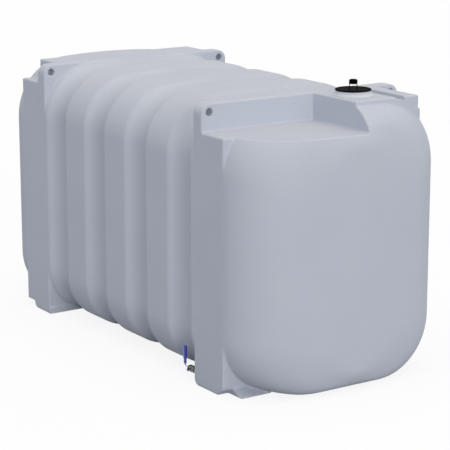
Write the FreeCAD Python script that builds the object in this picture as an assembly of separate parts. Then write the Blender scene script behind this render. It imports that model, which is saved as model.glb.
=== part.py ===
import FreeCAD, Part
import math
import os

Vector = FreeCAD.Vector

# Drinking water tank: a rotomoulded box tank with rounded ends, ribbed flanks,
# square corner blocks at both ends, a filler on a raised deck and an outlet valve.
# X is the width, Y the length (the filler end is at -Y), Z is up from the ground.

# Shell section
tank_width = 1660.0
roof_height = 1952.0
belly_height = 4.0
wall = 12.0
shoulder_radius = 390.0
haunch_radius = 368.0
roof_arch_radius = 4000.0

# Shell length and domed ends
barrel_half = 1403.0
end_depth = 409.0
end_bow_radius = 2670.0
side_knuckle = 378.0
top_knuckle = 306.0
bottom_knuckle = 163.0
end_shoulder_growth = 104.0
end_haunch_growth = 51.0
end_face_width = 240.0
end_corner_share = 0.95
end_stations = 10
seam_gap = 0.3

# Grooves that run round the flanks and fade out on the roof and the floor
groove_count = 4
groove_margin = 28.0
groove_half_width = 150.0
groove_floor = 45.0
groove_depth = 72.0
groove_gap = 45.0

# Corner blocks
block_length = 358.0
block_tip = 2.0
lug_thickness = 102.0
lug_corner = 75.0
eye_radius = 27.0
eye_inset = 64.0
eye_drop = 58.0
rear_ledge_drop = 140.0

# Deck, recess and rear platform
deck_rise = 4.0
deck_overhang = 225.0
deck_inset = 210.0
deck_width = 540.0
recess_depth = 192.0
slot_inset = 204.0
slot_width = 80.0
slot_depth = 24.0
rear_deck_inset = 149.0
rear_deck_setback = 13.0

# Feet
foot_step = 50.0
foot_depth = 330.0
toe_reach = 95.0
front_toe_inset = 86.0
front_setback = 32.0
rear_setback = 112.0
foot_round = 45.0

# Filler neck, lid and vent
filler_reach = 165.0
filler_setback = 18.0
filler_bore = 105.0
plate_half = 125.0
plate_thickness = 24.0
neck_base = 139.0
neck_top = 119.0
neck_height = 34.0
neck_rim = 8.0
lid_radius = 124.0
lid_thickness = 9.0
lid_spigot = 20.0
spigot_clearance = 1.5
spigot_wall = 5.0
vent_radius = 29.0
vent_height = 32.0
vent_gap = 34.0
vent_chamfer = 6.0
vent_leg_side = 6.0
vent_leg_reach = 15.0

# Outlet valve
outlet_inset = 72.0
outlet_z = 60.0
outlet_bore = 12.5
nut_flats = 46.0
nut_length = 14.0
nipple_radius = 16.7
nipple_length = 80.0
valve_flats = 40.0
valve_length = 74.0
valve_end = 18.0
valve_ball = 25.0
valve_barrel = 22.0
neck_boss = 9.0
neck_boss_length = 32.0
stem_radius = 5.0
stem_clearance = 0.3
stem_length = 14.0
lever_thickness = 4.0
lever_width = 15.0
lever_crank = 30.0
lever_rise = 28.0
lever_length = 172.0
sleeve_thickness = 18.0
sleeve_width = 26.0
sleeve_length = 128.0
sleeve_chamfer = 5.0

# Derived places
half_width = tank_width / 2
shoulder_axis_x = half_width - shoulder_radius
shoulder_reach = roof_arch_radius - shoulder_radius
arch_axis_z = roof_height - roof_arch_radius
shoulder_axis_z = arch_axis_z + math.sqrt(shoulder_reach ** 2 - shoulder_axis_x ** 2)
arch_angle = math.degrees(math.asin(shoulder_axis_x / shoulder_reach))
haunch_axis_x = half_width - haunch_radius
haunch_axis_z = belly_height + haunch_radius
block_inner = barrel_half - block_length
lug_outer = block_inner + lug_thickness
groove_pitch = 2 * (block_inner - groove_margin - groove_half_width) / (groove_count - 1)
groove_centres = [groove_pitch * (k - (groove_count - 1) / 2) for k in range(groove_count)]
end_reach = barrel_half + end_depth
deck_height = roof_height + deck_rise
deck_front = barrel_half + deck_overhang
deck_right = half_width - deck_inset
recess_edge = deck_right - deck_width
front_ledge = deck_height - recess_depth
rear_ledge = deck_height - rear_ledge_drop
slot_left = deck_right - slot_inset
rear_deck_half = half_width - rear_deck_inset
rear_deck_end = barrel_half - rear_deck_setback
filler_x = recess_edge + filler_reach
filler_y = filler_setback - barrel_half
neck_seat = deck_height + neck_height
outlet_x = outlet_inset - half_width
far = 5000.0


def box(x0, x1, y0, y1, z0, z1):
    return Part.makeBox(x1 - x0, y1 - y0, z1 - z0, Vector(x0, y0, z0))


def mirror_x(shape):
    return shape.mirror(Vector(0, 0, 0), Vector(1, 0, 0))


def mirror_y(shape):
    return shape.mirror(Vector(0, 0, 0), Vector(0, 1, 0))


def line(a, b):
    return Part.makeLine(a, b)


def arc(a, middle, b):
    return Part.Arc(a, middle, b).toShape()


def face(edges):
    return Part.Face(Part.Wire(edges))


def polygon(points):
    return Part.Face(Part.makePolygon(points + points[:1]))


def cylinder_along(radius, length, start, direction):
    return Part.makeCylinder(radius, length, start, direction)


def hexagon(flats, length, start):
    # hexagonal prism along +Y with two flats facing up and down
    corner = flats / math.sqrt(3)
    turns = [math.radians(60 * k) for k in range(6)]
    points = [start + Vector(corner * math.cos(a), 0, corner * math.sin(a)) for a in turns]
    return polygon(points).extrude(Vector(0, length, 0))


# Groove profile: a flank, a flat bottom and a flank back

def groove_points(inset):
    # (along, depth) points across one groove: outer skin at inset 0, inner skin at inset wall
    floor = groove_depth + inset
    flank = [(groove_half_width, inset), (groove_floor, floor)]
    return [(-a, d) for a, d in flank] + [(a, d) for a, d in reversed(flank)]


def wall_run(inset):
    # the corrugated line from end to end of the barrel
    run = [(-barrel_half, inset)]
    for centre in groove_centres:
        run += [(centre + a, d) for a, d in groove_points(inset)]
    return run + [(barrel_half, inset)]


def wall_profile(z):
    run = wall_run(0) + wall_run(wall)[::-1]
    return polygon([Vector(-half_width + d, a, z) for a, d in run])


def left_wall():
    return wall_profile(haunch_axis_z).extrude(Vector(0, 0, shoulder_axis_z - haunch_axis_z))


def left_shoulder():
    axis = Vector(-shoulder_axis_x, 0, shoulder_axis_z)
    return wall_profile(shoulder_axis_z).revolve(axis, Vector(0, 1, 0), 90 - arch_angle)


def left_haunch():
    axis = Vector(-haunch_axis_x, 0, haunch_axis_z)
    return wall_profile(haunch_axis_z).revolve(axis, Vector(0, -1, 0), 90)


def fading_grooves(plate, envelope, start, inward, down, fall, reach):
    # grooves that leave the plate at a slant, each with its own trough under the plate
    direction = inward * reach + down * (-fall)
    above = -(groove_depth + wall)
    rim = [(groove_half_width, above), (-groove_half_width, above)]
    for centre in groove_centres:
        def slanted(inset):
            points = [start + Vector(0, centre + a, 0) + down * d for a, d in groove_points(inset) + rim]
            return polygon(points).extrude(direction)

        plate = plate.fuse(slanted(wall).common(envelope)).cut(slanted(0))
    return plate.removeSplitter()


def left_roof():
    angle = math.radians(arch_angle)
    rim = [(-barrel_half, 0), (barrel_half, 0), (barrel_half, wall), (-barrel_half, wall)]
    profile = polygon([Vector(0, end, roof_height - depth) for end, depth in rim])
    axis = Vector(0, -barrel_half, arch_axis_z)
    plate = profile.revolve(axis, Vector(0, -1, 0), arch_angle)
    envelope = cylinder_along(roof_arch_radius, 2 * barrel_half, axis, Vector(0, 1, 0))
    envelope = envelope.common(box(-half_width, 0, -barrel_half, barrel_half, belly_height, far))
    edge = roof_arch_radius * math.sin(angle)
    start = Vector(-edge, 0, arch_axis_z + roof_arch_radius * math.cos(angle))
    inward = Vector(math.cos(angle), 0, math.sin(angle))
    down = Vector(math.sin(angle), 0, -math.cos(angle))
    fade = edge - groove_gap
    fall = groove_depth - fade ** 2 / (2 * roof_arch_radius)
    return fading_grooves(plate, envelope, start, inward, down, fall * edge / fade, edge)


def left_floor():
    plate = box(-haunch_axis_x, 0, -barrel_half, barrel_half, belly_height, belly_height + wall)
    envelope = box(-haunch_axis_x, 0, -barrel_half, barrel_half, belly_height, roof_height)
    start = Vector(-haunch_axis_x, 0, belly_height)
    fall = groove_depth * haunch_axis_x / (haunch_axis_x - groove_gap)
    return fading_grooves(plate, envelope, start, Vector(1, 0, 0), Vector(0, 0, 1), fall, haunch_axis_x)


# Shell section at a place along the length: outer faces at inset 0, inner faces at inset wall

def section(y, half, top, bottom, top_radius, bottom_radius):
    arch = roof_arch_radius
    corner_x = half - top_radius
    drop = math.sqrt((arch - top_radius) ** 2 - corner_x ** 2)
    corner_z = top - arch + drop
    share = arch / (arch - top_radius)
    meet_x = corner_x * share
    meet_z = top - arch + drop * share
    turn = (math.pi / 2 + math.atan2(corner_x, drop)) / 2
    mid = (corner_x + top_radius * math.sin(turn), corner_z + top_radius * math.cos(turn))
    low_x = half - bottom_radius
    low_z = bottom + bottom_radius
    slant = bottom_radius / math.sqrt(2)

    def at(x, z):
        return Vector(x, y, z)

    return Part.Wire([
        line(at(-half, low_z), at(-half, corner_z)),
        arc(at(-half, corner_z), at(-mid[0], mid[1]), at(-meet_x, meet_z)),
        arc(at(-meet_x, meet_z), at(0, top), at(meet_x, meet_z)),
        arc(at(meet_x, meet_z), at(mid[0], mid[1]), at(half, corner_z)),
        line(at(half, corner_z), at(half, low_z)),
        arc(at(half, low_z), at(low_x + slant, low_z - slant), at(low_x, bottom)),
        line(at(low_x, bottom), at(-low_x, bottom)),
        arc(at(-low_x, bottom), at(-low_x - slant, low_z - slant), at(-half, low_z)),
    ])


def barrel_solid(inset):
    roof = roof_height - inset
    belly = belly_height + inset
    wire = section(-barrel_half, half_width - inset, roof, belly,
                   shoulder_radius - inset, haunch_radius - inset)
    return Part.Face(wire).extrude(Vector(0, 2 * barrel_half, 0))


def knuckle_inset(y, end, radius):
    # how far a quarter round at the end has turned inward at y
    run = max(0.0, y - (end - radius))
    return radius - math.sqrt(max(0.0, radius ** 2 - run ** 2))


def bowed_half(y, end, half, knuckle, bow):
    # half width of the end in plan: flank, knuckle arc and bowed face, all tangent
    centre_x = half - knuckle
    centre_y = end - bow + math.sqrt((bow - knuckle) ** 2 - centre_x ** 2)
    tangent_y = end - bow + (centre_y - end + bow) * bow / (bow - knuckle)
    if y <= centre_y:
        return half
    if y <= tangent_y:
        return centre_x + math.sqrt(knuckle ** 2 - (y - centre_y) ** 2)
    return math.sqrt(bow ** 2 - (y - end + bow) ** 2)


def end_solid(inset):
    # rear end, lofted through sections that shrink and grow rounder towards the end face
    end = end_reach - inset
    half = half_width - inset
    bow = end_bow_radius - inset
    last = end - bow + math.sqrt(bow ** 2 - (end_face_width / 2) ** 2)
    wires = []
    for k in range(end_stations + 1):
        y = barrel_half + (last - barrel_half) * math.sin(math.pi / 2 * k / end_stations)
        width = bowed_half(y, end, half, side_knuckle - inset, bow)
        grown = (y - barrel_half) / end_depth
        widest = width * end_corner_share
        top_radius = min(shoulder_radius + end_shoulder_growth * grown - inset, widest)
        low_radius = min(haunch_radius + end_haunch_growth * grown - inset, widest)
        roof = roof_height - inset - knuckle_inset(y, end, top_knuckle - inset)
        belly = belly_height + inset + knuckle_inset(y, end, bottom_knuckle - inset)
        wires.append(section(y, width, roof, belly, top_radius, low_radius))
    return Part.makeLoft(wires, True, True)


barrel_outer = barrel_solid(0)
rear_outer = end_solid(0)
rear_inner = end_solid(wall)
front_outer = mirror_y(rear_outer)
front_shell = mirror_y(rear_outer.cut(rear_inner))
front_envelope = [barrel_outer, front_outer]
front_space = [barrel_solid(wall + seam_gap), mirror_y(end_solid(wall + seam_gap))]

above_ledge = box(-far, far, -far, -lug_outer, front_ledge, far)
recess = box(-far, recess_edge, -far, -lug_outer, front_ledge, far)
plate_place = [filler_x - plate_half, filler_x + plate_half, filler_y - plate_half, filler_y + plate_half]
filler_cut = box(*plate_place, front_ledge, far)


def cut_all(shape, tools):
    for tool in tools:
        shape = shape.cut(tool)
    return shape


def inside_front(shape):
    # the part of a plate that lies within the walls of the filler end
    barrel_space, end_space = front_space
    return shape.common(barrel_space).fuse(shape.common(end_space)).removeSplitter()


# Square corner blocks outside the rounded section; built on the left, mirrored to the right

shoulder_tip = shoulder_axis_z + math.sqrt(2 * shoulder_radius * block_tip)
haunch_tip = haunch_axis_z - math.sqrt(2 * haunch_radius * block_tip)


def ledge_block(y0, y1, top):
    block = box(-half_width, -shoulder_axis_x, y0, y1, shoulder_tip, top)
    return block.cut(barrel_outer)


def lug(y0):
    z1 = deck_height
    x0 = -half_width
    slant = lug_corner * (1 - math.sqrt(0.5))

    def at(x, z):
        return Vector(x, y0, z)

    outline = face([
        line(at(0, shoulder_tip), at(x0, shoulder_tip)),
        line(at(x0, shoulder_tip), at(x0, z1 - lug_corner)),
        arc(at(x0, z1 - lug_corner), at(x0 + slant, z1 - slant), at(x0 + lug_corner, z1)),
        line(at(x0 + lug_corner, z1), at(0, z1)),
        line(at(0, z1), at(0, shoulder_tip)),
    ])
    plate = outline.extrude(Vector(0, lug_thickness, 0)).cut(barrel_outer)
    eye = Vector(x0 + eye_inset, y0, z1 - eye_drop)
    return plate.cut(cylinder_along(eye_radius, lug_thickness, eye, Vector(0, 1, 0)))


def foot_base(x0, x1, back, toe, front, rounded):
    # lower foot in side view: toe ramp at the back (-Y), set-back and rounded edge in front (+Y)
    def at(y, z):
        return Vector(x0, y, z)

    slant = rounded * (1 - math.sqrt(0.5))
    edges = [
        line(at(back, foot_step), at(back - toe, 0)),
        line(at(back - toe, 0), at(front - rounded, 0)),
        arc(at(front - rounded, 0), at(front - slant, slant), at(front, rounded)),
        line(at(front, rounded), at(front, foot_step)),
        line(at(front, foot_step), at(back, foot_step)),
    ]
    return face(edges).extrude(Vector(x1 - x0, 0, 0))


def foot(y0, y1, bases, envelope):
    block = box(-half_width, -half_width + foot_depth, y0, y1, foot_step, haunch_tip)
    for base in bases:
        block = block.fuse(base)
    return cut_all(block, envelope).removeSplitter()


def front_foot():
    inner_x = -half_width + foot_depth
    toe_x = -half_width + front_toe_inset
    outer = foot_base(-half_width, toe_x, -barrel_half + front_setback, 0, -block_inner, foot_round)
    inner = foot_base(toe_x, inner_x, -barrel_half, toe_reach, -block_inner, foot_round)
    return foot(-barrel_half, -block_inner, [outer, inner], front_envelope)


def rear_foot():
    inner_x = -half_width + foot_depth
    base = foot_base(-half_width, inner_x, block_inner, toe_reach, barrel_half - rear_setback, foot_round)
    return foot(block_inner, barrel_half, [base], [barrel_outer])


# Deck, recess and rear platform

def front_deck():
    deck = box(recess_edge, deck_right, -deck_front, -lug_outer, front_ledge, deck_height)
    deck = cut_all(deck, front_envelope + [filler_cut])
    slot_floor = deck_height - slot_depth
    return deck.cut(box(slot_left, slot_left + slot_width, -far, -lug_outer, slot_floor, far))


def rear_deck():
    deck = box(-rear_deck_half, rear_deck_half, lug_outer, rear_deck_end, front_ledge, deck_height)
    return deck.cut(barrel_outer)


def recess_floor():
    low = front_ledge - wall
    return inside_front(box(-half_width, recess_edge, -end_reach, -lug_outer, low, front_ledge))


def recess_back():
    plate = box(-half_width, recess_edge, -lug_outer, -lug_outer + wall, front_ledge - wall, far)
    return plate.common(front_space[0]).cut(recess)


def recess_side():
    plate = box(recess_edge, recess_edge + wall, -end_reach, -lug_outer + wall, front_ledge - wall, far)
    return inside_front(plate)


def front_crown(roof):
    # the shell that carries the deck: the roof's front bay and the top of the end, open under the filler
    bay = roof.common(above_ledge).fuse(front_shell.common(above_ledge))
    return cut_all(bay, [recess, filler_cut]).removeSplitter()


# Filler

def filler_plate():
    plate = box(*plate_place, deck_height - plate_thickness, deck_height)
    middle = Vector(filler_x, filler_y, deck_height - plate_thickness)
    return plate.cut(cylinder_along(filler_bore, plate_thickness, middle, Vector(0, 0, 1)))


def ring(points, x, y):
    outline = polygon([Vector(r + x, y, z) for r, z in points])
    return outline.revolve(Vector(x, y, 0), Vector(0, 0, 1), 360)


def filler_neck():
    rim = neck_seat - neck_rim
    points = [(filler_bore, deck_height), (neck_base, deck_height), (neck_top, rim),
              (neck_top, neck_seat), (filler_bore, neck_seat)]
    return ring(points, filler_x, filler_y)


def filler_lid():
    spigot = filler_bore - spigot_clearance
    low = neck_seat - lid_spigot
    top = neck_seat + lid_thickness
    hollow = spigot - spigot_wall
    points = [(0, neck_seat), (hollow, neck_seat), (hollow, low), (spigot, low),
              (spigot, neck_seat), (lid_radius, neck_seat), (lid_radius, top), (0, top)]
    return ring(points, filler_x, filler_y)


def vent():
    seat = neck_seat + lid_thickness
    cap_z = seat + vent_gap
    top = cap_z + vent_height
    points = [(0, cap_z), (vent_radius, cap_z), (vent_radius, top - vent_chamfer),
              (vent_radius - vent_chamfer, top), (0, top)]
    cap = ring(points, filler_x, filler_y)
    half = vent_leg_side / 2
    for sx in (-1, 1):
        for sy in (-1, 1):
            x = filler_x + sx * vent_leg_reach
            y = filler_y + sy * vent_leg_reach
            cap = cap.fuse(box(x - half, x + half, y - half, y + half, seat, cap_z))
    return cap.removeSplitter()


# Outlet valve on the inner face of the front left foot

outlet_seat = Vector(outlet_x, -block_inner, outlet_z)
nipple_start = outlet_seat + Vector(0, nut_length, 0)
valve_start = nipple_start + Vector(0, nipple_length, 0)
valve_middle = valve_start + Vector(0, valve_length / 2, 0)
along_y = Vector(0, 1, 0)
out_x = Vector(-1, 0, 0)


def outlet_nut():
    return hexagon(nut_flats, nut_length, outlet_seat)


def outlet_nipple():
    return cylinder_along(nipple_radius, nipple_length, nipple_start, along_y)


def valve_body():
    # two hexagonal ends, a round barrel with coned shoulders between them, and a stem neck
    far_end = valve_start + Vector(0, valve_length - valve_end, 0)
    body = hexagon(valve_flats, valve_end, valve_start).fuse(hexagon(valve_flats, valve_end, far_end))
    half = valve_length / 2 - valve_end
    rim = valve_flats / 2
    outline = [(0, -half), (rim, -half), (valve_ball, -valve_barrel / 2), (valve_ball, valve_barrel / 2),
               (rim, half), (0, half)]
    barrel = polygon([valve_middle + Vector(r, a, 0) for r, a in outline])
    body = body.fuse(barrel.revolve(valve_middle, along_y, 360))
    body = body.fuse(cylinder_along(neck_boss, neck_boss_length, valve_middle, out_x))
    socket = cylinder_along(outlet_bore, valve_end, far_end, along_y)
    stem_hole = cylinder_along(stem_radius + stem_clearance, neck_boss_length, valve_middle, out_x)
    return body.cut(socket).cut(stem_hole).removeSplitter()


def valve_stem():
    depth = neck_boss_length - stem_length
    start = valve_middle + out_x * depth
    length = stem_length + stem_clearance + lever_thickness
    return cylinder_along(stem_radius, length, start, out_x)


def valve_lever():
    # flat bar round the stem, cranked outward and then straight up
    x0 = valve_middle.x - neck_boss_length - stem_clearance
    z0 = valve_middle.z
    y0 = valve_middle.y - lever_width / 2
    x1 = x0 - lever_crank
    z_bend = z0 + lever_width
    z_rise = z_bend + lever_rise
    t = lever_thickness

    def at(x, z):
        return Vector(x, y0, z)

    z_low = z0 - lever_width / 2
    z_top = z0 + lever_length
    bar = polygon([at(x0, z_low), at(x0, z_bend), at(x1 + t, z_rise), at(x1 + t, z_top),
                   at(x1, z_top), at(x1, z_rise), at(x0 - t, z_bend), at(x0 - t, z_low)])
    bar = bar.extrude(Vector(0, lever_width, 0))
    hole = cylinder_along(stem_radius, 2 * t, Vector(x0 + t, valve_middle.y, z0), out_x)
    return bar.cut(hole)


def lever_sleeve():
    x = valve_middle.x - neck_boss_length - stem_clearance - lever_crank + lever_thickness / 2
    y = valve_middle.y
    tip = valve_middle.z + lever_length
    z1 = tip + sleeve_thickness / 2
    half_x = sleeve_thickness / 2
    half_y = sleeve_width / 2
    sleeve = box(x - half_x, x + half_x, y - half_y, y + half_y, z1 - sleeve_length, z1)
    sleeve = sleeve.makeChamfer(sleeve_chamfer, sleeve.Edges)
    core_x = lever_thickness / 2
    core_y = lever_width / 2
    return sleeve.cut(box(x - core_x, x + core_x, y - core_y, y + core_y, z1 - sleeve_length, tip))


nodes = {
    "left_wall": left_wall(),
    "left_haunch": left_haunch(),
    "left_floor": left_floor(),
    "left_shoulder": left_shoulder(),
    "left_roof": left_roof(),
}
for part in list(nodes):
    nodes[part.replace("left", "right")] = mirror_x(nodes[part])
nodes["front_crown"] = front_crown(nodes["right_roof"])
nodes["left_shoulder"] = nodes["left_shoulder"].cut(recess)
for part in ("left_roof", "right_roof"):
    nodes[part] = nodes[part].cut(above_ledge)

nodes["front_end"] = front_shell.cut(above_ledge)
nodes["rear_end"] = rear_outer.cut(rear_inner)
nodes["recess_floor"] = recess_floor()
nodes["recess_back"] = recess_back()
nodes["recess_side"] = recess_side()
nodes["front_deck"] = front_deck()
nodes["rear_deck"] = rear_deck()

left_blocks = {
    "front_left_lug": lug(-lug_outer),
    "rear_left_lug": lug(block_inner),
    "front_left_ledge": ledge_block(-barrel_half, -lug_outer, front_ledge),
    "rear_left_ledge": ledge_block(lug_outer, barrel_half, rear_ledge),
    "front_left_foot": front_foot(),
    "rear_left_foot": rear_foot(),
}
for part, shape in left_blocks.items():
    nodes[part] = shape
    nodes[part.replace("left", "right")] = mirror_x(shape)

nodes["filler_plate"] = filler_plate()
nodes["filler_neck"] = filler_neck()
nodes["filler_lid"] = filler_lid()
nodes["lid_vent"] = vent()
nodes["outlet_nut"] = outlet_nut()
nodes["outlet_nipple"] = outlet_nipple()
nodes["valve_body"] = valve_body()
nodes["valve_stem"] = valve_stem()
nodes["valve_lever"] = valve_lever()
nodes["lever_sleeve"] = lever_sleeve()

os.makedirs("parts", exist_ok=True)
for name, shape in nodes.items():
    shape.exportStep("parts/" + name + ".step")
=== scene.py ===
import math
import bmesh
import bpy
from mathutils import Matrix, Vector


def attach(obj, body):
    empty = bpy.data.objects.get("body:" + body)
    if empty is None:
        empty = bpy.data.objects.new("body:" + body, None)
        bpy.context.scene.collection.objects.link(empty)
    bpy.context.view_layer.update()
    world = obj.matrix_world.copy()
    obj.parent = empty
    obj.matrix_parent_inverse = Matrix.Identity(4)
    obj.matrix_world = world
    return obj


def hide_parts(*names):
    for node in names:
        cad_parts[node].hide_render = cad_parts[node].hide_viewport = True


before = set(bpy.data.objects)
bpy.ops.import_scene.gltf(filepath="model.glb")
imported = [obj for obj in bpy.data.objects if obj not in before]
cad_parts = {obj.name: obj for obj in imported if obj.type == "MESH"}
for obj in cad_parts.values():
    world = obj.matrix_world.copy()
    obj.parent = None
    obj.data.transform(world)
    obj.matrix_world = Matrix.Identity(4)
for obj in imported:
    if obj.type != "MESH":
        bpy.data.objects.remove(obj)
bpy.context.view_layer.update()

mm = 0.001
scene = bpy.context.scene
scene.view_settings.view_transform = "Standard"
print("stage: frame loaded,", len(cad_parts), "solids")


# small tools

mergeGap = 0.01       # mm, points closer than this become one
edgeShare = 0.48      # the most of an edge that one rounded corner takes up
chamferSlope = 0.6    # length of a nut's chamfer for each mm of its depth
wide = 3000           # mm, past everything


def linearColour(hexCode):
    channels = [int(hexCode[k:k + 2], 16) / 255 for k in (1, 3, 5)]
    return [c / 12.92 if c <= 0.04045 else ((c + 0.055) / 1.055) ** 2.4 for c in channels] + [1.0]


def addNode(tree, kind, inputs=None, **settings):
    node = tree.nodes.new(kind)
    for name, value in settings.items():
        setattr(node, name, value)
    for name, value in (inputs or {}).items():
        if isinstance(value, bpy.types.NodeSocket):
            tree.links.new(value, node.inputs[name])
        else:
            node.inputs[name].default_value = value
    return node


def newMaterial(name):
    material = bpy.data.materials.new(name)
    material.use_nodes = True
    tree = material.node_tree
    tree.nodes.clear()
    return material, tree


def seenDirectly(tree):
    # 1 for what the camera sees, also by way of gloss or glass
    path = addNode(tree, "ShaderNodeLightPath").outputs
    seen = addNode(tree, "ShaderNodeMath", {0: path["Is Camera Ray"], 1: path["Is Glossy Ray"]},
                   operation="MAXIMUM")
    seen = addNode(tree, "ShaderNodeMath", {0: seen.outputs[0], 1: path["Is Transmission Ray"]},
                   operation="MAXIMUM")
    return seen.outputs[0]


def quarterTurn(steps):
    return [math.pi / 2 * k / steps for k in range(steps + 1)]


def directionFrom(azimuth, height):
    # from the tank towards a lamp or the camera, in degrees round from the front and up
    a = math.radians(azimuth)
    h = math.radians(height)
    return Vector((math.sin(a) * math.cos(h), -math.cos(a) * math.cos(h), math.sin(h)))


def spanned(sign, a, b):
    # two distances from the middle, on the side of the sign given, the lower first
    return sorted((sign * a, sign * b))


def placed(a, b, along, axis):
    order = {"x": (2, 0, 1), "y": (0, 2, 1), "z": (0, 1, 2)}[axis]
    return [(a, b, along)[k] for k in order]


def ringMesh(rings, capped=True):
    # closed rings of points in mm, one after the other, made a skin in metres
    bm = bmesh.new()
    rows = [[bm.verts.new(Vector(p) * mm) for p in ring] for ring in rings]
    for low, high in zip(rows, rows[1:]):
        for k in range(len(low)):
            n = (k + 1) % len(low)
            bm.faces.new((low[k], low[n], high[n], high[k]))
    if capped:
        bm.faces.new(rows[0])
        bm.faces.new(rows[-1])
    bmesh.ops.recalc_face_normals(bm, faces=bm.faces)
    mesh = bpy.data.meshes.new("skin")
    bm.to_mesh(mesh)
    bm.free()
    return mesh


def prism(outline, axis, start, end):
    return ringMesh([[placed(a, b, along, axis) for a, b in outline] for along in (start, end)])


def block(x0, x1, y0, y1, z0, z1):
    return prism([(x0, y0), (x1, y0), (x1, y1), (x0, y1)], "z", z0, z1)


def hexPrism(flats, axis, a, b, start, end, bevel):
    # hexagon round the point (a, b), chamfered at its ends
    rings = []
    run = bevel * chamferSlope
    for along, shrink in ((start, bevel), (start + run, 0), (end - run, 0), (end, bevel)):
        corner = flats / math.sqrt(3) - shrink
        turns = [math.pi / 3 * k for k in range(6)]
        rings.append([placed(a + corner * math.cos(t), b + corner * math.sin(t), along, axis) for t in turns])
    return ringMesh(rings)


def softCorners(outline, radius, steps=4):
    # rounds each corner of an outline, as far as its edges allow
    points = []
    for k, corner in enumerate(outline):
        tip = Vector(corner)
        before = Vector(outline[k - 1]) - tip
        after = Vector(outline[(k + 1) % len(outline)]) - tip
        cut = min(radius, before.length * edgeShare, after.length * edgeShare)
        a = tip + before.normalized() * cut
        b = tip + after.normalized() * cut
        for s in range(steps + 1):
            t = s / steps
            points.append(tuple(a * (1 - t) ** 2 + tip * 2 * t * (1 - t) + b * t ** 2))
    return points


def turned(outline, centre, axis, segments):
    # a closed outline of (radius, along) turned round an axis through centre
    rings = []
    for k in range(segments):
        c = math.cos(2 * math.pi * k / segments)
        s = math.sin(2 * math.pi * k / segments)
        rings.append([Vector(placed(r * c, r * s, along, axis)) + Vector(centre) for r, along in outline])
    mesh = ringMesh(rings + rings[:1], False)
    bm = bmesh.new()
    bm.from_mesh(mesh)
    bmesh.ops.remove_doubles(bm, verts=bm.verts, dist=mergeGap * mm)
    bmesh.ops.dissolve_degenerate(bm, edges=bm.edges, dist=mergeGap * mm)
    bmesh.ops.recalc_face_normals(bm, faces=bm.faces)
    bm.to_mesh(mesh)
    bm.free()
    return mesh


def rod(radius, start, end, centre, axis, segments):
    return turned([(0, start), (radius, start), (radius, end), (0, end)], centre, axis, segments)


def joined(meshes):
    bm = bmesh.new()
    for mesh in meshes:
        bm.from_mesh(mesh)
    whole = bpy.data.meshes.new("whole")
    bm.to_mesh(whole)
    bm.free()
    return whole


def newPiece(name, mesh):
    piece = bpy.data.objects.new(name, mesh)
    scene.collection.objects.link(piece)
    return piece


def baked(piece):
    # modifiers become plain mesh
    bpy.context.view_layer.update()
    graph = bpy.context.evaluated_depsgraph_get()
    mesh = bpy.data.meshes.new_from_object(piece.evaluated_get(graph))
    piece.modifiers.clear()
    piece.data = mesh
    return piece


def modified(piece, kind, **settings):
    modifier = piece.modifiers.new(kind.lower(), kind)
    for name, value in settings.items():
        setattr(modifier, name, value)
    return baked(piece)


def carved(piece, mesh):
    tool = newPiece("tool", mesh)
    modified(piece, "BOOLEAN", object=tool, operation="DIFFERENCE", solver="MANIFOLD")
    bpy.data.objects.remove(tool)
    return piece


def dress(piece, material, body, nodes, sharp=38):
    # edges that turn by more than sharp degrees stay crisp
    mesh = piece.data
    mesh.materials.clear()
    mesh.materials.append(material)
    for face in mesh.polygons:
        face.material_index = 0
    mesh.shade_smooth()
    mesh.set_sharp_from_angle(angle=math.radians(sharp))
    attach(piece, body)
    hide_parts(*nodes)
    return piece


# materials, with every size in mm; sockets 6 and 7 of a Mix node are its two colours

tankFinish = {"light": "#CBCFD9", "dark": "#C4C8D3", "cloudSize": 450, "peelSize": 26, "peelHeight": 0.35,
              "grainSize": 7, "grainHeight": 0.1, "rough": (0.54, 0.66), "ior": 1.51, "specular": 0.03}


# rotationally moulded polyethylene: matte-satin, with a faint orange peel and clouds in the tint
def mouldedPolyethylene(name, finish):
    material, tree = newMaterial(name)
    coords = addNode(tree, "ShaderNodeTexCoord").outputs["Object"]
    cloud = addNode(tree, "ShaderNodeTexNoise", {
        "Vector": coords, "Scale": 1 / (finish["cloudSize"] * mm), "Detail": 3.0, "Roughness": 0.5})
    tint = addNode(tree, "ShaderNodeMix", {
        "Factor": cloud.outputs["Fac"], 6: linearColour(finish["dark"]),
        7: linearColour(finish["light"])}, data_type="RGBA")
    # the peel is drawn a little coarser than the real one so that it shows
    peel = addNode(tree, "ShaderNodeTexNoise", {
        "Vector": coords, "Scale": 1 / (finish["peelSize"] * mm), "Detail": 1.0})
    grain = addNode(tree, "ShaderNodeTexNoise", {
        "Vector": coords, "Scale": 1 / (finish["grainSize"] * mm), "Detail": 2.0})
    low, high = finish["rough"]
    rough = addNode(tree, "ShaderNodeMapRange", {
        "Value": grain.outputs["Fac"], "To Min": low, "To Max": high})
    wave = addNode(tree, "ShaderNodeBump", {
        "Height": peel.outputs["Fac"], "Distance": finish["peelHeight"] * mm, "Strength": 1.0})
    skin = addNode(tree, "ShaderNodeBump", {
        "Height": grain.outputs["Fac"], "Normal": wave.outputs["Normal"],
        "Distance": finish["grainHeight"] * mm, "Strength": 1.0})
    shader = addNode(tree, "ShaderNodeBsdfPrincipled", {
        "Base Color": tint.outputs[2], "Roughness": rough.outputs["Result"], "Normal": skin.outputs["Normal"],
        "IOR": finish["ior"], "Specular IOR Level": finish["specular"]})
    addNode(tree, "ShaderNodeOutputMaterial", {"Surface": shader.outputs["BSDF"]})
    return material


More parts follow.
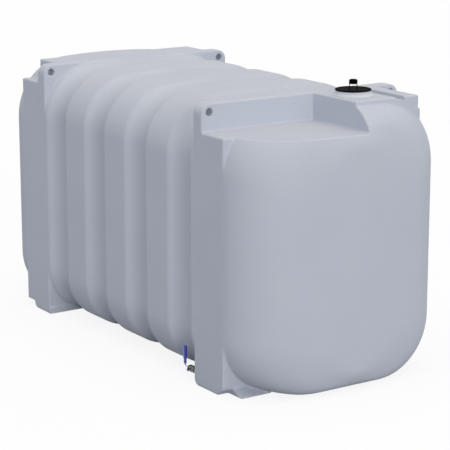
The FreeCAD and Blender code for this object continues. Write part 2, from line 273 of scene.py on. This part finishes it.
# one pattern drives the tint, the roughness and, where it has a height, the bump
def grainedMaterial(name, finish):
    material, tree = newMaterial(name)
    coords = addNode(tree, "ShaderNodeTexCoord").outputs["Object"]
    spacing = addNode(tree, "ShaderNodeMapping", {
        "Vector": coords, "Scale": [1 / (size * mm) for size in finish["grain"]]})
    grain = addNode(tree, "ShaderNodeTexNoise", {
        "Vector": spacing.outputs["Vector"], "Scale": 1.0, "Detail": finish["detail"]}).outputs["Fac"]
    tint = addNode(tree, "ShaderNodeMix", {
        "Factor": grain, 6: linearColour(finish["dark"]), 7: linearColour(finish["light"])}, data_type="RGBA")
    low, high = finish["rough"]
    rough = addNode(tree, "ShaderNodeMapRange", {"Value": grain, "To Min": low, "To Max": high})
    look = {"Base Color": tint.outputs[2], "Roughness": rough.outputs["Result"], **finish["shine"]}
    if finish["height"]:
        bump = addNode(tree, "ShaderNodeBump", {
            "Height": grain, "Distance": finish["height"] * mm, "Strength": 1.0})
        look["Normal"] = bump.outputs["Normal"]
    shader = addNode(tree, "ShaderNodeBsdfPrincipled", look)
    addNode(tree, "ShaderNodeOutputMaterial", {"Surface": shader.outputs["BSDF"]})
    return material


tankPlastic = mouldedPolyethylene("rotomoulded_polyethylene", tankFinish)
neckFinish = dict(tankFinish, light="#D6D9E0", dark="#D0D4DC")
neckPlastic = mouldedPolyethylene("pale_moulded_polyethylene", neckFinish)

# injection moulded black polypropylene: near black with a fine spark grain
lidFinish = {"dark": "#030304", "light": "#0A0A0B", "grain": (3, 3, 3), "height": 0.12, "detail": 2.0,
             "rough": (0.5, 0.68), "shine": {"IOR": 1.49, "Specular IOR Level": 0.01}}
lidPlastic = grainedMaterial("black_moulded_polypropylene", lidFinish)

# investment cast stainless steel: dull grey with a fine cast grain
steelFinish = {"dark": "#5C6066", "light": "#8E9196", "grain": (4, 4, 4), "height": 0.12, "detail": 4.0,
               "rough": (0.3, 0.5), "shine": {"Metallic": 1.0}}
valveSteel = grainedMaterial("cast_stainless_steel", steelFinish)

# pressed stainless strip: fine rolling lines that run along the bar
leverFinish = {"dark": "#4A4D52", "light": "#7C7F85", "grain": (0.8, 0.8, 60), "height": 0, "detail": 2.0,
               "rough": (0.28, 0.42), "shine": {"Metallic": 1.0}}
leverSteel = grainedMaterial("rolled_stainless_strip", leverFinish)

# dipped PVC grip: deep blue, glossy, with slow flow marks from the dip
sleeveFinish = {"dark": "#0E1C96", "light": "#1C30C0", "grain": (18, 18, 18), "height": 0, "detail": 1.0,
                "rough": (0.1, 0.18), "shine": {"IOR": 1.53, "Coat Weight": 0.5}}
sleevePlastic = grainedMaterial("dipped_pvc", sleeveFinish)
print("stage: materials made")


# shell section, shared by the ribbed barrel and both end mouldings

shell = {"half": 830, "roof": 1952, "belly": 4, "wall": 12, "shoulder": 390, "haunch": 368, "arch": 5600,
         "barrelEnd": 1403, "endDepth": 409, "bow": 2670, "sideKnuckle": 378, "topKnuckle": 306,
         "bottomKnuckle": 163, "endShoulder": 446, "endHaunch": 398, "endFace": 160, "endRound": 0.95,
         "cornerEase": 8, "blockInner": 1045, "seam": 1030}
# points along the floor, each corner, the wall and the roof of one half
ringSteps = {"barrel": (30, 26, 12, 36), "end": (10, 22, 6, 12), "cavity": (4, 10, 2, 4)}


def sectionRing(y, half, top, bottom, topRadius, lowRadius, steps):
    floorSteps, arcSteps, wallSteps, roofSteps = steps
    arch = shell["arch"]
    cornerX = half - topRadius
    drop = math.sqrt((arch - topRadius) ** 2 - cornerX ** 2)
    cornerZ = top - arch + drop
    lowX = half - lowRadius
    lowZ = bottom + lowRadius
    lean = math.atan2(cornerX, drop)
    right = [(lowX * k / floorSteps, bottom) for k in range(floorSteps)]
    for k in range(arcSteps):
        a = math.pi / 2 * (k / arcSteps - 1)
        right.append((lowX + lowRadius * math.cos(a), lowZ + lowRadius * math.sin(a)))
    right += [(half, lowZ + (cornerZ - lowZ) * k / wallSteps) for k in range(wallSteps)]
    for k in range(arcSteps):
        a = (math.pi / 2 - lean) * k / arcSteps
        right.append((cornerX + topRadius * math.cos(a), cornerZ + topRadius * math.sin(a)))
    for k in range(roofSteps + 1):
        a = lean * (1 - k / roofSteps)
        right.append((arch * math.sin(a), top - arch + arch * math.cos(a)))
    return [(x, y, z) for x, z in right + [(-x, z) for x, z in reversed(right[1:-1])]]


def barrelRing(y, inset, steps):
    return sectionRing(y, shell["half"] - inset, shell["roof"] - inset, shell["belly"] + inset,
                       shell["shoulder"] - inset, shell["haunch"] - inset, steps)


def knuckleInset(y, end, radius):
    run = max(0.0, y - (end - radius))
    return radius - math.sqrt(max(0.0, radius ** 2 - run ** 2))


def bowedHalf(y, end, half, knuckle, bow):
    # half width of an end in plan: flank, knuckle arc and bowed face
    centreX = half - knuckle
    centreY = end - bow + math.sqrt((bow - knuckle) ** 2 - centreX ** 2)
    tangentY = end - bow + (centreY - end + bow) * bow / (bow - knuckle)
    if y <= centreY:
        return half
    if y <= tangentY:
        return centreX + math.sqrt(knuckle ** 2 - (y - centreY) ** 2)
    return math.sqrt(bow ** 2 - (y - end + bow) ** 2)


def easedRadius(radius, limit):
    # the smaller of the two, with a smooth change from one to the other
    ease = shell["cornerEase"]
    return (radius ** -ease + limit ** -ease) ** (-1 / ease)


def endSkin(side, inset, start, stations, steps):
    # a domed end from start outwards, on the side of the sign given
    end = shell["barrelEnd"] + shell["endDepth"] - inset
    half = shell["half"] - inset
    bow = shell["bow"] - inset
    last = end - bow + math.sqrt(bow ** 2 - (shell["endFace"] / 2) ** 2)
    rings = [barrelRing(start, inset, steps), barrelRing(shell["blockInner"], inset, steps)]
    for k in range(stations + 1):
        y = shell["barrelEnd"] + (last - shell["barrelEnd"]) * math.sin(math.pi / 2 * k / stations)
        width = bowedHalf(y, end, half, shell["sideKnuckle"] - inset, bow)
        top = shell["roof"] - inset - knuckleInset(y, end, shell["topKnuckle"] - inset)
        low = shell["belly"] + inset + knuckleInset(y, end, shell["bottomKnuckle"] - inset)
        limit = width * shell["endRound"]     # what the width allows near the end face
        corners = [easedRadius(shell[corner] - inset, limit) for corner in ("endShoulder", "endHaunch")]
        rings.append(sectionRing(y, width, top, low, *corners, steps))
    return ringMesh([[(x, side * y, z) for x, y, z in ring] for ring in rings])


# ribbed barrel: a plain tube that a node tree presses the grooves into

groove = {"Pitch": 578, "Depth": 62, "Hollow Radius": 200, "Front Lip": 14, "Rear Lip": 70,
          "Crown Depth": 26, "Crown Gap": 45, "Tip Run": 260, "Tank Half": shell["half"]}
grooveSpots = (-1.5, -0.5, 0.5, 1.5)      # in pitches from the middle of the tank
# rows across half a groove, close together at its lip
lipRows = [0, 18, 36, 52, 66, 79, 91, 102, 112, 120, 128, 134,
           138, 142, 145, 148, 151, 155, 160, 166, 173, 185, 215, 250]


def pressedGrooves():
    tree = bpy.data.node_groups.new("pressedGrooves", "GeometryNodeTree")
    tree.interface.new_socket("Geometry", in_out="INPUT", socket_type="NodeSocketGeometry")
    tree.interface.new_socket("Geometry", in_out="OUTPUT", socket_type="NodeSocketGeometry")
    for size in groove:
        tree.interface.new_socket(size, in_out="INPUT", socket_type="NodeSocketFloat")
    tree.interface.new_socket("Skin", in_out="INPUT", socket_type="NodeSocketMaterial")
    sizes = addNode(tree, "NodeGroupInput").outputs

    def reckon(operation, a, b=0.0, c=0.0):
        return addNode(tree, "ShaderNodeMath", {0: a, 1: b, 2: c}, operation=operation).outputs[0]

    def chordAt(radius, distance):
        squares = reckon("SUBTRACT", reckon("POWER", radius, 2.0), reckon("POWER", distance, 2.0))
        return reckon("SQRT", reckon("MAXIMUM", squares, 0.0))

    position = addNode(tree, "GeometryNodeInputPosition").outputs[0]
    place = addNode(tree, "ShaderNodeSeparateXYZ", {0: position}).outputs
    across = reckon("ABSOLUTE", place[0])
    # distance to the middle of the nearest groove, whose rear lip is softer than its front lip
    offset = reckon("SUBTRACT", reckon("FLOORED_MODULO", place[1], sizes["Pitch"]),
                    reckon("MULTIPLY", sizes["Pitch"], 0.5))
    away = reckon("ABSOLUTE", offset)
    lipRadius = reckon("MULTIPLY_ADD", reckon("SUBTRACT", sizes["Rear Lip"], sizes["Front Lip"]),
                       reckon("GREATER_THAN", offset, 0.0), sizes["Front Lip"])
    # the round hollow meets the rounded lip at the bend
    reachSum = reckon("ADD", sizes["Hollow Radius"], lipRadius)
    rest = reckon("SUBTRACT", reckon("MULTIPLY", reachSum, 2.0), sizes["Depth"])
    halfWidth = reckon("SQRT", reckon("MULTIPLY", sizes["Depth"], rest))
    bend = reckon("DIVIDE", reckon("MULTIPLY", halfWidth, sizes["Hollow Radius"]), reachSum)
    hollow = reckon("SUBTRACT", chordAt(sizes["Hollow Radius"], away),
                    reckon("SUBTRACT", sizes["Hollow Radius"], sizes["Depth"]))
    toEdge = reckon("MAXIMUM", reckon("SUBTRACT", halfWidth, away), 0.0)
    lip = reckon("SUBTRACT", lipRadius, chordAt(lipRadius, toEdge))
    inside = reckon("LESS_THAN", away, bend)
    press = reckon("ADD", reckon("MULTIPLY", hollow, inside),
                   reckon("MULTIPLY", lip, reckon("SUBTRACT", 1.0, inside)))
    # shallower towards the middle of the roof and of the floor, where each groove runs out to a tip
    spread = reckon("POWER", reckon("DIVIDE", across, sizes["Tank Half"]), 2.0)
    deep = reckon("MULTIPLY_ADD", reckon("SUBTRACT", sizes["Depth"], sizes["Crown Depth"]), spread,
                  sizes["Crown Depth"])
    fromGap = reckon("SUBTRACT", across, sizes["Crown Gap"])
    short = reckon("SUBTRACT", 1.0, reckon("DIVIDE", fromGap, sizes["Tip Run"]))
    rise = reckon("MULTIPLY", reckon("POWER", reckon("MAXIMUM", short, 0.0), 2.0), sizes["Crown Depth"])
    shallow = reckon("MULTIPLY", press, reckon("DIVIDE", deep, sizes["Depth"]))
    sink = reckon("MAXIMUM", reckon("SUBTRACT", shallow, rise), 0.0)
    normal = addNode(tree, "GeometryNodeInputNormal").outputs[0]
    inward = addNode(tree, "ShaderNodeVectorMath", {0: normal, "Scale": reckon("MULTIPLY", sink, -1.0)},
                     operation="SCALE")
    pressed = addNode(tree, "GeometryNodeSetPosition", {"Geometry": sizes["Geometry"],
                                                        "Offset": inward.outputs[0]})
    whole = addNode(tree, "GeometryNodeRealizeInstances", {"Geometry": pressed.outputs[0]})
    coated = addNode(tree, "GeometryNodeSetMaterial", {"Geometry": whole.outputs[0],
                                                       "Material": sizes["Skin"]})
    addNode(tree, "NodeGroupOutput", {"Geometry": coated.outputs[0]})
    return tree


tubeRows = {-shell["seam"], shell["seam"]}
for spot in grooveSpots:
    tubeRows |= {spot * groove["Pitch"] + side * row for row in lipRows for side in (-1, 1)}
tubeRows = sorted(row for row in tubeRows if abs(row) <= shell["seam"])
tube = ringMesh([barrelRing(row, 0, ringSteps["barrel"]) for row in tubeRows], False)
barrel = newPiece("ribbed_barrel", tube)
pressing = barrel.modifiers.new("grooves", "NODES")
pressing.node_group = pressedGrooves()
for socket in pressing.node_group.interface.items_tree:
    if socket.name in groove:
        pressing[socket.identifier] = groove[socket.name] * mm
    if socket.name == "Skin":
        pressing[socket.identifier] = tankPlastic
baked(barrel)
modified(barrel, "SOLIDIFY", thickness=shell["wall"] * mm, offset=-1.0, use_even_offset=False)
sides = ["left_", "right_"]
dress(barrel, tankPlastic, "tank",
      [side + part for side in sides for part in ("wall", "haunch", "floor", "shoulder", "roof")])
print("stage: ribbed barrel,", len(barrel.data.polygons), "faces")


# end mouldings: domed end, corner blocks, feet and deck grown into one rounded skin

skinning = {"voxel": 6.5, "smoothShare": 0.5, "smoothRounds": 2, "keep": 0.34, "start": 900, "stations": 36,
            "cavityStart": 800, "cavityStations": 12, "crease": 50, "overlap": 20}
ends = {"lugOuter": 1147, "lugCorner": 75, "deckTop": 1956, "blockLow": 1480, "blockDepth": 430,
        "frontLedge": 1764, "rearLedge": 1816, "eyeRadius": 27, "eyeInset": 64, "eyeDrop": 58, "eyeReach": 60,
        "recessEdge": 80, "deckRight": 620, "deckFront": 1628, "deckRoot": 30, "slotLeft": 416,
        "slotWidth": 80, "slotDepth": 24, "slotGap": 1, "rearDeckHalf": 681, "rearDeckEnd": 1390}
feet = {"step": 50, "depth": 330, "top": 470, "leftToe": 95, "rightToe": 40, "rearToe": 95, "toeRamp": 70,
        "toeInset": 86, "rearSetback": 112, "round": 45}
filler = {"x": 245, "y": -1385, "bore": 105, "holeDepth": 292, "base": 139, "top": 119, "height": 34,
          "rim": 8, "skirt": 3, "sink": 2, "round": 3, "segments": 96}
fillerMiddle = (filler["x"], filler["y"], 0)


def lugWall(side):
    # wall across one end, with a lug at each upper corner
    corner = ends["lugCorner"]
    outline = [(shell["half"], ends["blockLow"])]
    for a in quarterTurn(8):
        outline.append((shell["half"] - corner * (1 - math.cos(a)),
                        ends["deckTop"] - corner * (1 - math.sin(a))))
    outline += [(-x, z) for x, z in reversed(outline)]
    return prism(outline, "y", side * shell["blockInner"], side * ends["lugOuter"])


def footBase(x0, x1, toeEdge, toe, heelEdge):
    # side view of a lower foot: ramped toe, flat sole and rounded heel
    r = feet["round"]
    seam = feet["step"] + skinning["overlap"]
    turn = 1 if heelEdge > toeEdge else -1
    outline = [(toeEdge, seam), (toeEdge, feet["step"]), (toeEdge - turn * toe, 0)]
    for a in quarterTurn(6):
        outline.append((heelEdge - turn * r * (1 - math.sin(a)), r * (1 - math.cos(a))))
    outline.append((heelEdge, seam))
    return prism(outline, "x", x0, x1)


def cornerBlocks(side, ledges):
    # ledge block, foot and sole at the left and right corner of one end
    solids = []
    outer = shell["half"]
    toeLine = outer - feet["toeInset"]
    footInner = outer - feet["depth"]
    for flip, ledge, frontToe in zip((-1, 1), ledges, (feet["leftToe"], feet["rightToe"])):
        blockX = spanned(flip, outer, outer - ends["blockDepth"])
        blockY = spanned(side, ends["lugOuter"] - skinning["overlap"], shell["barrelEnd"])
        solids.append(block(*blockX, *blockY, ends["blockLow"], ledge))
        footX = spanned(flip, outer, footInner)
        footY = spanned(side, shell["blockInner"], shell["barrelEnd"])
        solids.append(block(*footX, *footY, feet["step"], feet["top"]))
        if side < 0:
            for xs, toe in ((spanned(flip, outer, toeLine), -feet["toeRamp"]),
                            (spanned(flip, toeLine, footInner), frontToe)):
                solids.append(footBase(*xs, -shell["barrelEnd"], toe, -shell["blockInner"]))
        else:
            heel = shell["barrelEnd"] - feet["rearSetback"]
            solids.append(footBase(*footX, shell["blockInner"], feet["rearToe"], heel))
    return solids


def eyeTools(side):
    span = spanned(side, shell["blockInner"] - ends["eyeReach"], ends["lugOuter"] + ends["eyeReach"])
    eyeX = shell["half"] - ends["eyeInset"]
    eyeZ = ends["deckTop"] - ends["eyeDrop"]
    return [rod(ends["eyeRadius"], *span, (flip * eyeX, 0, eyeZ), "y", 40) for flip in (-1, 1)]


def grownSkin(name, solids, tools):
    # one skin round all the solids, with the small steps smoothed as a mould would leave them
    piece = newPiece(name, joined(solids))
    modified(piece, "REMESH", mode="VOXEL", voxel_size=skinning["voxel"] * mm)
    for tool in tools:
        carved(piece, tool)
    modified(piece, "REMESH", mode="VOXEL", voxel_size=skinning["voxel"] * mm)
    modified(piece, "SMOOTH", factor=skinning["smoothShare"], iterations=skinning["smoothRounds"])
    return modified(piece, "DECIMATE", ratio=skinning["keep"])


frontSolids = [endSkin(-1, 0, skinning["start"], skinning["stations"], ringSteps["end"]), lugWall(-1)]
frontSolids += cornerBlocks(-1, (ends["frontLedge"], ends["rearLedge"]))
frontSolids.append(block(ends["recessEdge"], ends["deckRight"],
                         -ends["deckFront"], -ends["lugOuter"] + skinning["overlap"],
                         ends["frontLedge"] - ends["deckRoot"], ends["deckTop"]))
recess = block(-wide, ends["recessEdge"], -wide, -ends["lugOuter"], ends["frontLedge"], wide)
front = grownSkin("filler_end_moulding", frontSolids, eyeTools(-1) + [recess])

rearSolids = [endSkin(1, 0, skinning["start"], skinning["stations"], ringSteps["end"]), lugWall(1)]
rearSolids += cornerBlocks(1, (ends["rearLedge"], ends["rearLedge"]))
rearSolids.append(block(-ends["rearDeckHalf"], ends["rearDeckHalf"],
                        ends["lugOuter"] - skinning["overlap"], ends["rearDeckEnd"],
                        ends["frontLedge"], ends["deckTop"]))
rear = grownSkin("far_end_moulding", rearSolids, eyeTools(1))

# hollow inside, filler hole, deck slot, and a flat joint with the barrel
frontHollow, rearHollow = [endSkin(side, shell["wall"], skinning["cavityStart"], skinning["cavityStations"],
                                   ringSteps["cavity"]) for side in (-1, 1)]
cavity = newPiece("cavity", frontHollow)
carved(cavity, block(-wide, ends["recessEdge"] + shell["wall"], -wide, -ends["lugOuter"] + shell["wall"],
                     ends["frontLedge"] - shell["wall"], wide))
carved(front, cavity.data.copy())
bpy.data.objects.remove(cavity)
carved(rear, rearHollow)
carved(front, rod(filler["bore"], ends["deckTop"] - filler["holeDepth"], wide, fillerMiddle, "z", 64))
carved(front, block(ends["slotLeft"], ends["slotLeft"] + ends["slotWidth"],
                    -wide, -ends["lugOuter"] - ends["slotGap"], ends["deckTop"] - ends["slotDepth"], wide))
for piece in (front, rear):
    carved(piece, block(-wide, wide, -shell["seam"], shell["seam"], -wide, wide))
corners = [side + part for side in sides for part in ("lug", "ledge", "foot")]
frontNodes = ["front_" + part for part in corners + ["end", "crown", "deck"]]
frontNodes += ["recess_floor", "recess_back", "recess_side", "filler_plate"]
rearNodes = ["rear_" + part for part in corners + ["end", "deck"]]
dress(front, tankPlastic, "tank", frontNodes, skinning["crease"])
dress(rear, tankPlastic, "tank", rearNodes, skinning["crease"])
print("stage: end mouldings,", len(front.data.polygons), len(rear.data.polygons), "faces")


# filler neck, lid and vent

deck = ends["deckTop"]
seat = deck + filler["height"]
neckLine = [(filler["bore"], deck - filler["sink"]), (filler["base"], deck - filler["sink"]),
            (filler["base"], deck + filler["skirt"]), (filler["top"], seat - filler["rim"]),
            (filler["top"], seat), (filler["bore"], seat)]
neckSkin = turned(softCorners(neckLine, filler["round"]), fillerMiddle, "z", filler["segments"])
neckPiece = newPiece("filler_neck_cone", neckSkin)
dress(neckPiece, neckPlastic, "tank", ["filler_neck"])

lid = {"radius": 124, "thickness": 9, "rim": 14, "dish": 2, "dishRun": 3, "spigot": 103.5, "spigotWall": 5,
       "spigotDepth": 20, "round": 2.5}
lidTop = seat + lid["thickness"]
dishTop = lidTop - lid["dish"]
spigotInner = lid["spigot"] - lid["spigotWall"]
spigotLow = seat - lid["spigotDepth"]
dishEdge = lid["radius"] - lid["rim"]
lidLine = [(spigotInner, seat), (spigotInner, spigotLow), (lid["spigot"], spigotLow), (lid["spigot"], seat),
           (lid["radius"], seat), (lid["radius"], lidTop), (dishEdge, lidTop),
           (dishEdge - lid["dishRun"], dishTop)]
lidOutline = [(0, seat)] + softCorners(lidLine, lid["round"]) + [(0, dishTop)]
lidPiece = newPiece("dished_lid", turned(lidOutline, fillerMiddle, "z", filler["segments"]))
dress(lidPiece, lidPlastic, "lid", ["filler_lid"])

vent = {"radius": 29, "height": 32, "gap": 34, "crown": 9, "wall": 4, "lip": 0.5, "bevel": 6, "round": 5,
        "legs": 2, "legReach": 25.5, "legRadius": 2.6, "legTurn": -33.8, "legFlare": 2, "legFoot": 3,
        "legSink": 5}
capLow = lidTop + vent["gap"]
capTop = capLow + vent["height"]
capInner = vent["radius"] - vent["wall"]
capLine = [(capInner, capLow - vent["lip"]), (vent["radius"], capLow - vent["lip"]),
           (vent["radius"], capTop - vent["bevel"]), (vent["radius"] - vent["crown"], capTop)]
capOutline = [(0, capLow + vent["wall"]), (capInner, capLow + vent["wall"])]
capOutline += softCorners(capLine, vent["round"]) + [(0, capTop)]
ventSolids = [turned(capOutline, fillerMiddle, "z", 48)]
legFoot = vent["legRadius"] + vent["legFlare"]
legTop = capLow + vent["legSink"]
legLine = [(0, lidTop - vent["legFoot"]), (legFoot, lidTop - vent["legFoot"]), (legFoot, lidTop),
           (vent["legRadius"], lidTop + vent["legFoot"]), (vent["legRadius"], legTop), (0, legTop)]
for k in range(vent["legs"]):
    a = math.radians(vent["legTurn"]) + 2 * math.pi * k / vent["legs"]
    foot = (filler["x"] + vent["legReach"] * math.cos(a), filler["y"] + vent["legReach"] * math.sin(a), 0)
    ventSolids.append(turned(legLine, foot, "z", 16))
ventPiece = newPiece("vent_cap", joined(ventSolids))
dress(ventPiece, lidPlastic, "lid", ["lid_vent"])
print("stage: filler dressed")


# outlet: hex nut, threaded nipple and ball valve

valve = {"x": -758, "y": -914, "z": 60, "seat": -shell["blockInner"], "nutFlats": 46, "nutLength": 14,
         "nutBevel": 2.5, "pipe": 16.7, "pipeSink": 4, "pipeReach": 2, "threadPitch": 5,
         "threadDepth": 1.2, "flats": 40, "length": 74, "endLength": 18, "endBevel": 2, "rimBevel": 1,
         "rimRun": 2, "ball": 25, "swell": 5, "swellTurn": 0.9, "ballGap": 4, "bore": 12.5, "boreStart": 3,
         "boss": 9, "bossLength": 32, "bossBevel": 1.5, "bossBevelRun": 2}
valveMiddle = (valve["x"], valve["y"], valve["z"])
half = valve["length"] / 2
inner = half - valve["endLength"]

nutEnd = valve["seat"] + valve["nutLength"]
nutSkin = hexPrism(valve["nutFlats"], "y", valve["x"], valve["z"], valve["seat"], nutEnd, valve["nutBevel"])
nut = newPiece("outlet_hex_nut", nutSkin)
dress(nut, valveSteel, "tank", ["outlet_nut"], 20)

# thread pitch is drawn coarser than the real one so that it shows
pipeStart = nutEnd - valve["pipeSink"]
bodyStart = valve["y"] - half
pipeEnd = bodyStart + valve["pipeReach"]
threadRoot = valve["pipe"] - valve["threadDepth"]
pipeLine = [(0, pipeStart)]
for k in range(int((bodyStart - pipeStart) / valve["threadPitch"])):
    base = pipeStart + k * valve["threadPitch"]
    pipeLine += [(threadRoot, base), (valve["pipe"], base + valve["threadPitch"] / 2)]
pipeLine += [(threadRoot, pipeEnd), (0, pipeEnd)]
nipple = newPiece("threaded_nipple", turned(pipeLine, (valve["x"], 0, valve["z"]), "y", 40))
dress(nipple, valveSteel, "tank", ["outlet_nipple"], 75)

rim = valve["flats"] / 2
innerEnd = inner + valve["rimBevel"]
bodyLine = [(0, -innerEnd), (rim - valve["rimBevel"], -innerEnd), (rim, -inner + valve["rimRun"])]
for k in range(9):
    a = math.pi * (k / 8 - 0.5)
    swell = valve["swell"] * math.cos(a * valve["swellTurn"])
    bodyLine.append((valve["ball"] - valve["swell"] + swell, (inner - valve["ballGap"]) * math.sin(a)))
bodyLine += [(rim, inner - valve["rimRun"]), (rim - valve["rimBevel"], innerEnd), (0, innerEnd)]
bossLine = [(0, 0), (valve["boss"], 0), (valve["boss"], -valve["bossLength"] + valve["bossBevelRun"]),
            (valve["boss"] - valve["bossBevel"], -valve["bossLength"]), (0, -valve["bossLength"])]
nearHex, farHex = [hexPrism(valve["flats"], "y", valve["x"], valve["z"], valve["y"] + low, valve["y"] + high,
                            valve["endBevel"]) for low, high in ((-half, -inner), (inner, half))]
openEnd = newPiece("valve_end", farHex)
carved(openEnd, rod(valve["bore"], inner + valve["boreStart"], valve["length"], valveMiddle, "y", 40))
bodySolids = [turned(bodyLine, valveMiddle, "y", 48), nearHex, turned(bossLine, valveMiddle, "x", 32)]
valveBody = newPiece("ball_valve_body", joined(bodySolids + [openEnd.data]))
bpy.data.objects.remove(openEnd)
dress(valveBody, valveSteel, "tank", ["valve_body"], 30)


# lever: stem with its nut, cranked strip and dipped grip

lever = {"gap": 0.3, "thickness": 4, "width": 15, "crank": 30, "rise": 28, "length": 172, "tail": 9,
         "bevel": 1.0}
stem = {"radius": 5, "sink": 10, "reach": 8, "bevel": 1.2, "nutFlats": 17, "nutLength": 7, "nutBevel": 1.2}
leverX = valve["x"] - valve["bossLength"] - lever["gap"]
stemStart = -valve["bossLength"] + stem["sink"]
stemEnd = leverX - valve["x"] - stem["reach"]
stemTip = stemEnd - stem["bevel"]
stemLine = [(0, stemStart), (stem["radius"], stemStart), (stem["radius"], stemEnd),
            (stem["radius"] - stem["bevel"], stemTip), (0, stemTip)]
nutSeat = leverX - lever["thickness"]
stemNut = hexPrism(stem["nutFlats"], "x", valve["y"], valve["z"], nutSeat - stem["nutLength"], nutSeat,
                   stem["nutBevel"])
stemPiece = newPiece("valve_stem_nut", joined([turned(stemLine, valveMiddle, "x", 24), stemNut]))
dress(stemPiece, leverSteel, "lever", ["valve_stem"], 25)

tail = valve["z"] - lever["tail"]
crankLow = valve["z"] + lever["width"]
crankHigh = crankLow + lever["rise"]
tip = valve["z"] + lever["length"]
outerX = leverX - lever["crank"]
stripX = outerX + lever["thickness"]
leverLine = [(leverX, tail), (leverX, crankLow), (stripX, crankHigh), (stripX, tip), (outerX, tip),
             (outerX, crankHigh), (nutSeat, crankLow), (nutSeat, tail)]
leverPiece = newPiece("cranked_lever", prism(leverLine, "y", valve["y"] - lever["width"] / 2,
                                             valve["y"] + lever["width"] / 2))
modified(leverPiece, "BEVEL", width=lever["bevel"] * mm, segments=2, limit_method="ANGLE",
         angle_limit=math.radians(30))
dress(leverPiece, leverSteel, "lever", ["valve_lever"], 30)

sleeve = {"low": 113, "high": 241, "halfX": 11.5, "halfY": 15.5, "square": 0.85, "neckHeight": 34,
          "neckShare": 0.78, "neckRun": 3, "stepShare": 0.9, "mouthRound": 3, "mouthShare": 0.72, "round": 7,
          "crownShare": 0.3, "points": 40}
sleeveX = outerX + lever["thickness"] / 2
# heights along the grip, with the share of its full width there: narrow neck, step, body and round crown
stations = []
for a in quarterTurn(5):
    mouth = sleeve["mouthShare"] + (1 - sleeve["mouthShare"]) * math.sin(a)
    stations.append((sleeve["low"] + sleeve["mouthRound"] * (1 - math.cos(a)), sleeve["neckShare"] * mouth))
neckTop = sleeve["low"] + sleeve["neckHeight"]
stations += [(neckTop - sleeve["neckRun"], sleeve["neckShare"]), (neckTop, sleeve["stepShare"]),
             (neckTop + sleeve["neckRun"], 1.0)]
for a in quarterTurn(8):
    stations.append((sleeve["high"] - sleeve["round"] * (1 - math.sin(a)),
                     sleeve["crownShare"] + (1 - sleeve["crownShare"]) * math.cos(a)))
rings = []
for height, share in stations:
    ring = []
    for k in range(sleeve["points"]):
        a = 2 * math.pi * k / sleeve["points"]
        across = math.copysign(abs(math.cos(a)) ** sleeve["square"], math.cos(a))
        along = math.copysign(abs(math.sin(a)) ** sleeve["square"], math.sin(a))
        ring.append((sleeveX + sleeve["halfX"] * share * across,
                     valve["y"] + sleeve["halfY"] * share * along, height))
    rings.append(ring)
grip = newPiece("lever_grip", ringMesh(rings))
dress(grip, sleevePlastic, "lever", ["lever_sleeve"], 50)
print("stage: outlet valve dressed")


# floor, light and camera

studio = {"floorHalf": 60000, "floorThickness": 20, "floor": "#A4A6AC", "shadowShare": 0.12, "sky": 0.58,
          "skyTint": (0.946, 1.0, 1.078), "white": (1.0, 1.0, 1.0, 1.0)}
lamps = {"frontPanel": {"power": 1.03, "tint": (1.015, 1.0, 0.973), "azimuth": -12, "height": 8, "width": 30},
         "ceilingPanel": {"power": 0.92, "tint": (1.13, 1.0, 0.78), "azimuth": 0, "height": 88, "width": 50}}
lens = {"azimuth": -33.792, "elevation": 13.253, "target": (125.0, 0, 792.2), "distance": 13272.9,
        "pixels": 1758.84, "image": 450, "sensor": 36.0, "clip": (0.1, 300.0)}

# pale painted floor: seen as white with the tank's soft shadow on it
floorMaterial, tree = newMaterial("pale_studio_floor")
paint = addNode(tree, "ShaderNodeBsdfDiffuse", {"Color": linearColour(studio["floor"])})
whitePaint = addNode(tree, "ShaderNodeBsdfDiffuse", {"Color": studio["white"]})
glow = addNode(tree, "ShaderNodeEmission", {"Color": studio["white"], "Strength": 1.0})
shown = addNode(tree, "ShaderNodeMixShader", {
    0: studio["shadowShare"], 1: glow.outputs[0], 2: whitePaint.outputs[0]})
mixed = addNode(tree, "ShaderNodeMixShader", {
    0: seenDirectly(tree), 1: paint.outputs[0], 2: shown.outputs[0]})
addNode(tree, "ShaderNodeOutputMaterial", {"Surface": mixed.outputs[0]})
reach = studio["floorHalf"]
floor = newPiece("studio_floor", block(-reach, reach, -reach, reach, -studio["floorThickness"], 0))
floor.data.materials.append(floorMaterial)

world = bpy.data.worlds.new("softRoom")
world.use_nodes = True
tree = world.node_tree
tree.nodes.clear()
sky = addNode(tree, "ShaderNodeBackground", {"Color": (*studio["skyTint"], 1.0), "Strength": studio["sky"]})
backdrop = addNode(tree, "ShaderNodeBackground", {"Color": studio["white"], "Strength": 1.0})
mixed = addNode(tree, "ShaderNodeMixShader", {
    0: seenDirectly(tree), 1: sky.outputs[0], 2: backdrop.outputs[0]})
addNode(tree, "ShaderNodeOutputWorld", {"Surface": mixed.outputs[0]})
scene.world = world

for name, panel in lamps.items():
    lamp = bpy.data.lights.new(name, "SUN")
    lamp.energy = panel["power"]
    lamp.color = panel["tint"]
    lamp.angle = math.radians(panel["width"])
    holder = bpy.data.objects.new(name, lamp)
    towards = directionFrom(panel["azimuth"], panel["height"])
    holder.rotation_euler = (-towards).to_track_quat("-Z", "Y").to_euler()
    scene.collection.objects.link(holder)

camData = bpy.data.cameras.new("photoCamera")
camData.sensor_width = lens["sensor"]
camData.lens = lens["pixels"] / lens["image"] * lens["sensor"]
camData.clip_start, camData.clip_end = lens["clip"]
camera = bpy.data.objects.new("photoCamera", camData)
back = directionFrom(lens["azimuth"], lens["elevation"])
camera.location = (Vector(lens["target"]) + back * lens["distance"]) * mm
camera.rotation_mode = "QUATERNION"
camera.rotation_quaternion = (-back).to_track_quat("-Z", "Y")
scene.collection.objects.link(camera)
scene.camera = camera
print("stage: studio set")
